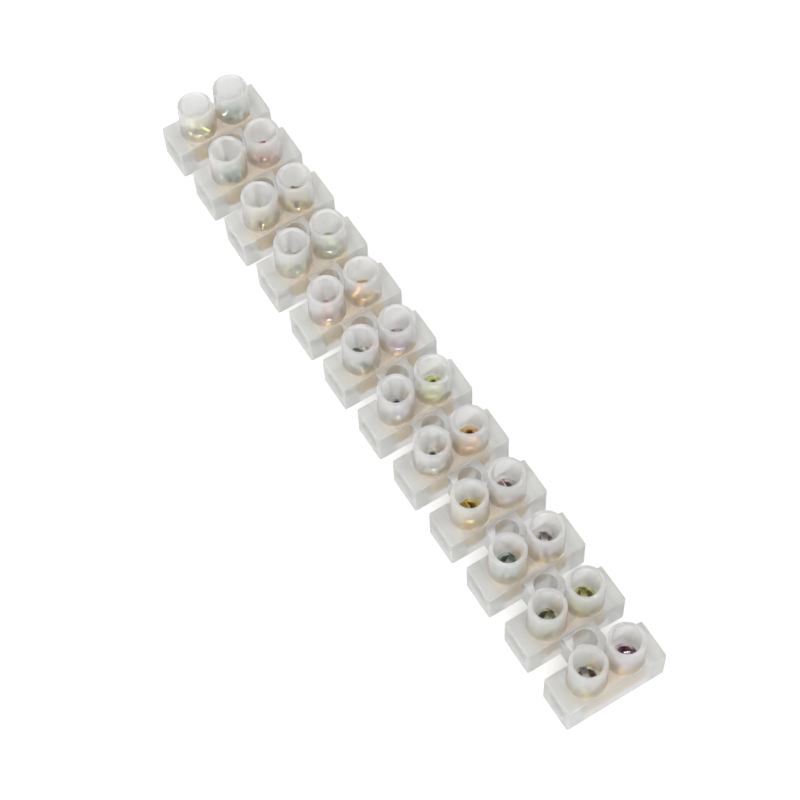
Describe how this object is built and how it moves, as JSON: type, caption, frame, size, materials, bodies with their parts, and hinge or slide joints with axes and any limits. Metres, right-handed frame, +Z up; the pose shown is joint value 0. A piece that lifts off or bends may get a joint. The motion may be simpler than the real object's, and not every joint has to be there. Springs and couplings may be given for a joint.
{
  "type": "barrier terminal strip",
  "caption": "Translucent screw terminal strip: a row of joined insulating blocks with round turrets, brass tubes and slotted clamping screws.",
  "frame": {"origin": "middle of the strip on its mounting face", "axes": "+X along the strip from pole 1 to the last pole, +Y along the conductors from the front entries to the rear ones, +Z up through the screw turrets"},
  "size_m": [0.1162, 0.0164, 0.0121],
  "materials": {
    "housing": "translucent natural polyethylene, satin",
    "brass": "bare drawn brass",
    "zinc": "yellow-iridescent zinc plating"
  },
  "bodies": {
    "strip": {"housing": "housing", "contact_tube_01": "brass", "contact_tube_02": "brass", "contact_tube_03": "brass", "contact_tube_04": "brass", "contact_tube_05": "brass", "contact_tube_06": "brass", "contact_tube_07": "brass", "contact_tube_08": "brass", "contact_tube_09": "brass", "contact_tube_10": "brass", "contact_tube_11": "brass", "contact_tube_12": "brass"},
    "screw_01_front": {"screw_01_front": "zinc"},
    "screw_01_rear": {"screw_01_rear": "zinc"},
    "screw_02_front": {"screw_02_front": "zinc"},
    "screw_02_rear": {"screw_02_rear": "zinc"},
    "screw_03_front": {"screw_03_front": "zinc"},
    "screw_03_rear": {"screw_03_rear": "zinc"},
    "screw_04_front": {"screw_04_front": "zinc"},
    "screw_04_rear": {"screw_04_rear": "zinc"},
    "screw_05_front": {"screw_05_front": "zinc"},
    "screw_05_rear": {"screw_05_rear": "zinc"},
    "screw_06_front": {"screw_06_front": "zinc"},
    "screw_06_rear": {"screw_06_rear": "zinc"},
    "screw_07_front": {"screw_07_front": "zinc"},
    "screw_07_rear": {"screw_07_rear": "zinc"},
    "screw_08_front": {"screw_08_front": "zinc"},
    "screw_08_rear": {"screw_08_rear": "zinc"},
    "screw_09_front": {"screw_09_front": "zinc"},
    "screw_09_rear": {"screw_09_rear": "zinc"},
    "screw_10_front": {"screw_10_front": "zinc"},
    "screw_10_rear": {"screw_10_rear": "zinc"},
    "screw_11_front": {"screw_11_front": "zinc"},
    "screw_11_rear": {"screw_11_rear": "zinc"},
    "screw_12_front": {"screw_12_front": "zinc"},
    "screw_12_rear": {"screw_12_rear": "zinc"}
  },
  "joints": [
    {"name": "screw_01_front_travel", "type": "slide", "parent": "strip", "child": "screw_01_front", "axis": [0, 0, 1], "range_m": [-0.0001, 0.0029]},
    {"name": "screw_01_rear_travel", "type": "slide", "parent": "strip", "child": "screw_01_rear", "axis": [0, 0, 1], "range_m": [-0.0005, 0.0025]},
    {"name": "screw_02_front_travel", "type": "slide", "parent": "strip", "child": "screw_02_front", "axis": [0, 0, 1], "range_m": [-0.0001, 0.0029]},
    {"name": "screw_02_rear_travel", "type": "slide", "parent": "strip", "child": "screw_02_rear", "axis": [0, 0, 1], "range_m": [-0.0008, 0.0022]},
    {"name": "screw_03_front_travel", "type": "slide", "parent": "strip", "child": "screw_03_front", "axis": [0, 0, 1], "range_m": [-0.00015, 0.00285]},
    {"name": "screw_03_rear_travel", "type": "slide", "parent": "strip", "child": "screw_03_rear", "axis": [0, 0, 1], "range_m": [-0.00085, 0.00215]},
    {"name": "screw_04_front_travel", "type": "slide", "parent": "strip", "child": "screw_04_front", "axis": [0, 0, 1], "range_m": [-0.00005, 0.00295]},
    {"name": "screw_04_rear_travel", "type": "slide", "parent": "strip", "child": "screw_04_rear", "axis": [0, 0, 1], "range_m": [-0.00045, 0.00255]},
    {"name": "screw_05_front_travel", "type": "slide", "parent": "strip", "child": "screw_05_front", "axis": [0, 0, 1], "range_m": [-0.00005, 0.00295]},
    {"name": "screw_05_rear_travel", "type": "slide", "parent": "strip", "child": "screw_05_rear", "axis": [0, 0, 1], "range_m": [-0.0003, 0.0027]},
    {"name": "screw_06_front_travel", "type": "slide", "parent": "strip", "child": "screw_06_front", "axis": [0, 0, 1], "range_m": [-0.0008, 0.0022]},
    {"name": "screw_06_rear_travel", "type": "slide", "parent": "strip", "child": "screw_06_rear", "axis": [0, 0, 1], "range_m": [-0.00005, 0.00295]},
    {"name": "screw_07_front_travel", "type": "slide", "parent": "strip", "child": "screw_07_front", "axis": [0, 0, 1], "range_m": [-0.00075, 0.00225]},
    {"name": "screw_07_rear_travel", "type": "slide", "parent": "strip", "child": "screw_07_rear", "axis": [0, 0, 1], "range_m": [-0.0008, 0.0022]},
    {"name": "screw_08_front_travel", "type": "slide", "parent": "strip", "child": "screw_08_front", "axis": [0, 0, 1], "range_m": [-0.00035, 0.00265]},
    {"name": "screw_08_rear_travel", "type": "slide", "parent": "strip", "child": "screw_08_rear", "axis": [0, 0, 1], "range_m": [-0.00075, 0.00225]},
    {"name": "screw_09_front_travel", "type": "slide", "parent": "strip", "child": "screw_09_front", "axis": [0, 0, 1], "range_m": [-0.0008, 0.0022]},
    {"name": "screw_09_rear_travel", "type": "slide", "parent": "strip", "child": "screw_09_rear", "axis": [0, 0, 1], "range_m": [-0.0006, 0.0024]},
    {"name": "screw_10_front_travel", "type": "slide", "parent": "strip", "child": "screw_10_front", "axis": [0, 0, 1], "range_m": [-0.0008, 0.0022]},
    {"name": "screw_10_rear_travel", "type": "slide", "parent": "strip", "child": "screw_10_rear", "axis": [0, 0, 1], "range_m": [-0.00085, 0.00215]},
    {"name": "screw_11_front_travel", "type": "slide", "parent": "strip", "child": "screw_11_front", "axis": [0, 0, 1], "range_m": [-0.0006, 0.0024]},
    {"name": "screw_11_rear_travel", "type": "slide", "parent": "strip", "child": "screw_11_rear", "axis": [0, 0, 1], "range_m": [-0.0006, 0.0024]},
    {"name": "screw_12_front_travel", "type": "slide", "parent": "strip", "child": "screw_12_front", "axis": [0, 0, 1], "range_m": [-0.0003, 0.0027]},
    {"name": "screw_12_rear_travel", "type": "slide", "parent": "strip", "child": "screw_12_rear", "axis": [0, 0, 1], "range_m": [-0.0002, 0.0028]}
  ]
}
